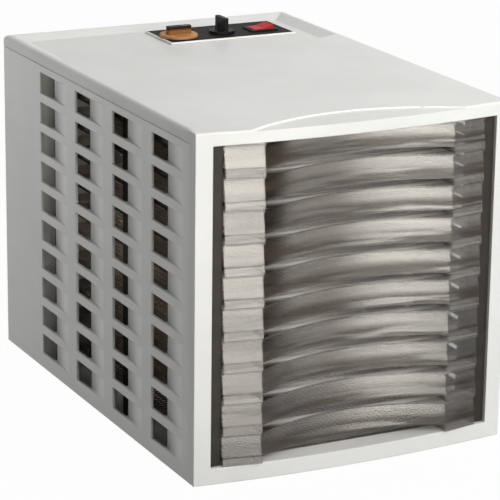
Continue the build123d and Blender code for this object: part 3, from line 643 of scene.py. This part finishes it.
class DEHYDRATOR_OT_stage(bpy.types.Operator):
    """Set the floor, the light and the camera"""

    bl_idname = "dehydrator.stage"
    bl_label = "Stage"

    def execute(self, context):
        look = context.scene.dehydrator_stage
        context.scene.view_settings.view_transform = "Standard"
        self.floor(look)
        self.world(context.scene, look)
        self.light("key_light", look.key_power, (2.0, 1.8), azimuth=-16.0, elevation=25.0, distance=2.2,
                   glossy=False)
        self.light("top_light", look.top_power, (1.6, 1.6), azimuth=-90.0, elevation=60.0, distance=2.2)
        self.light("side_light", look.side_power, (0.9, 0.9), azimuth=135.0, elevation=14.0, distance=1.2)
        self.inner_light(look)
        self.sheen(look)
        self.flag()
        self.camera(context.scene, look)
        return {"FINISHED"}

    def floor(self, look):
        """A wide flat floor at the height of the feet, mostly its own white to the camera and to mirrors."""
        reach = 12.0
        corners = rectangle(-reach, -reach, reach, reach, 0.0)
        mesh = bpy.data.meshes.new("floor")
        mesh.from_pydata(corners.tolist(), [], [(0, 1, 2, 3)])
        finish = Finish.named("floor_white")
        tint = finish.blend(finish.noise(3.0), opaque(look.floor), scaled(look.floor, 0.98))
        lit = finish.node("ShaderNodeBsdfDiffuse", inputs={"Color": tint})
        glow = finish.node("ShaderNodeEmission", inputs={"Color": WHITE, "Strength": 1.0})
        seen = self.seen(finish)
        mixed = finish.node("ShaderNodeMixShader", inputs={0: seen * look.floor_glow, 1: lit, 2: glow})
        finish.node("ShaderNodeOutputMaterial", inputs={"Surface": mixed})
        mesh.materials.append(finish.material)
        floor = bpy.data.objects.new("floor", mesh)
        bpy.context.scene.collection.objects.link(floor)

    def seen(self, finish):
        """One for rays from the camera, and for those that a mirror or clear plastic sends on."""
        path = finish.node("ShaderNodeLightPath").socket.node.outputs
        camera = Wire(finish, path["Is Camera Ray"])
        glossy = Wire(finish, path["Is Glossy Ray"])
        through = Wire(finish, path["Is Transmission Ray"])
        return camera.math("MAXIMUM", camera.math("MAXIMUM", camera, glossy), through)

    def world(self, scene, look):
        """White where it is seen, and an even fill where it only lights."""
        world = bpy.data.worlds.new("studio")
        finish = Finish(world)
        fill = finish.node("ShaderNodeBackground", inputs={"Color": WHITE, "Strength": look.fill})
        back = finish.node("ShaderNodeBackground", inputs={"Color": WHITE, "Strength": 1.0})
        mixed = finish.node("ShaderNodeMixShader", inputs={0: self.seen(finish), 1: fill, 2: back})
        finish.node("ShaderNodeOutputWorld", inputs={"Surface": mixed})
        scene.world = world

    def light(self, name, power, size, azimuth, elevation, distance, glossy=True):
        """A soft rectangular light that faces the part; azimuth turns to the left of the front."""
        lamp = bpy.data.lights.new(name, "AREA")
        lamp.shape = "RECTANGLE"
        lamp.size, lamp.size_y = size
        lamp.energy = power
        turn, rise = math.radians(azimuth), math.radians(elevation)
        way = Vector((-math.sin(turn) * math.cos(rise), -math.cos(turn) * math.cos(rise), math.sin(rise)))
        aim = Vector((0.0, 0.0, 0.18))
        holder = bpy.data.objects.new(name, lamp)
        holder.location = aim + way * distance
        holder.rotation_euler = way.to_track_quat("Z", "Y").to_euler()
        holder.visible_camera = False
        holder.visible_glossy = glossy
        bpy.context.scene.collection.objects.link(holder)

    def inner_light(self, look):
        """A weak lamp between the trays and the fan, for the light that leaks into the cabinet."""
        lamp = bpy.data.lights.new("inner_light", "POINT")
        lamp.energy = look.inner_power
        lamp.shadow_soft_size = 0.06
        holder = bpy.data.objects.new("inner_light", lamp)
        holder.location = (0.0, 0.0, 0.19)
        holder.visible_camera = False
        holder.visible_glossy = False
        bpy.context.scene.collection.objects.link(holder)

    def card(self, name, corners, material):
        """A flat card that only the part's gloss sees."""
        mesh = bpy.data.meshes.new(name)
        mesh.from_pydata(corners, [], [(0, 1, 2, 3)])
        mesh.materials.append(material)
        card = bpy.data.objects.new(name, mesh)
        card.visible_camera = False
        card.visible_diffuse = False
        card.visible_shadow = False
        card.visible_transmission = False
        bpy.context.scene.collection.objects.link(card)

    def sheen(self, look):
        """The bright card in front and its foot on the floor: brightest at the left and at the top, fading
        smoothly to the right, downwards and towards the part."""
        reach, away, top = 2.0, -1.4, 1.6
        near, far_right, near_right, lift = -0.4, 0.5, 0.1, 0.001
        finish = Finish.named("sheen_card")
        across = 1.0 - finish.between(finish.sideways(), look.sheen_left, look.sheen_right)
        unrolled = finish.height() + 0.25 * (away - finish.rearward())
        rising = finish.between(unrolled, -0.25, 0.45)
        dim = scaled(look.sheen_tone, look.sheen_low)
        tone = finish.blend(across * (0.15 + 0.85 * rising), dim, opaque(look.sheen_tone))
        glow = finish.node("ShaderNodeEmission", inputs={"Color": tone, "Strength": look.sheen})
        finish.node("ShaderNodeOutputMaterial", inputs={"Surface": glow})
        wall = [(-reach, away, 0.0), (reach, away, 0.0), (reach, away, top), (-reach, away, top)]
        foot = [(-reach, away, lift), (far_right, away, lift), (near_right, near, lift), (-reach, near, lift)]
        self.card("sheen", wall, finish.material)
        self.card("sheen_foot", foot, finish.material)

    def flag(self):
        """A dark card to the right and its foot on the floor."""
        cloth = satin_finish("flag_cloth", (0.02, 0.02, 0.02), 0.9)
        front, rear, top = (2.33, -1.42), (1.9, 1.2), 2.2
        near_front, near_rear, lift = (0.5, -0.4), (0.5, 0.3), 0.001
        wall = [(*front, 0.0), (*rear, 0.0), (*rear, top), (*front, top)]
        foot = [(*near_front, lift), (*front, lift), (*rear, lift), (*near_rear, lift)]
        self.card("flag", wall, cloth)
        self.card("flag_foot", foot, cloth)

    def camera(self, scene, look):
        """A long lens to the left of the front, a little above the part."""
        turn, rise = look.azimuth, look.elevation
        forward = Vector((-math.sin(turn) * math.cos(rise), math.cos(turn) * math.cos(rise), -math.sin(rise)))
        level = Vector((math.cos(turn), math.sin(turn), 0.0))
        upright = level.cross(forward)
        right = math.cos(look.roll) * level + math.sin(look.roll) * upright
        up = right.cross(forward)
        basis = Matrix((right, up, -forward)).transposed().to_4x4()
        basis.translation = Vector(look.target) - forward * look.distance
        camera = bpy.data.objects.new("camera", bpy.data.cameras.new("camera"))
        camera.data.lens = look.lens
        camera.data.clip_end = 60.0
        camera.matrix_world = basis
        scene.collection.objects.link(camera)
        scene.camera = camera


class DEHYDRATOR_PT_looks(bpy.types.Panel):
    """Lists the operators"""

    bl_label = "Food Dehydrator"
    bl_idname = "DEHYDRATOR_PT_looks"
    bl_space_type = "VIEW_3D"
    bl_region_type = "UI"
    bl_category = "Dehydrator"

    def draw(self, context):
        for operator in OPERATORS:
            self.layout.operator(operator.bl_idname)


LOOKS = {
    "dehydrator_cabinet": CabinetLook,
    "dehydrator_trays": TrayLook,
    "dehydrator_controls": ControlLook,
    "dehydrator_works": WorksLook,
    "dehydrator_stage": StageLook,
}
OPERATORS = (DEHYDRATOR_OT_cabinet, DEHYDRATOR_OT_trays, DEHYDRATOR_OT_works, DEHYDRATOR_OT_controls,
             DEHYDRATOR_OT_stage)


def register():
    """Registers the settings, the operators and the panel."""
    for name, look in LOOKS.items():
        bpy.utils.register_class(look)
        setattr(bpy.types.Scene, name, PointerProperty(type=look))
    for operator in OPERATORS:
        bpy.utils.register_class(operator)
    bpy.utils.register_class(DEHYDRATOR_PT_looks)


def unregister():
    """Takes them all out again."""
    bpy.utils.unregister_class(DEHYDRATOR_PT_looks)
    for operator in reversed(OPERATORS):
        bpy.utils.unregister_class(operator)
    for name, look in reversed(LOOKS.items()):
        delattr(bpy.types.Scene, name)
        bpy.utils.unregister_class(look)


def main():
    """Builds the looks round the loaded part."""
    register()
    bpy.ops.dehydrator.cabinet()
    bpy.ops.dehydrator.trays()
    bpy.ops.dehydrator.works()
    bpy.ops.dehydrator.controls()
    bpy.ops.dehydrator.stage()


if __name__ == "__main__":
    main()
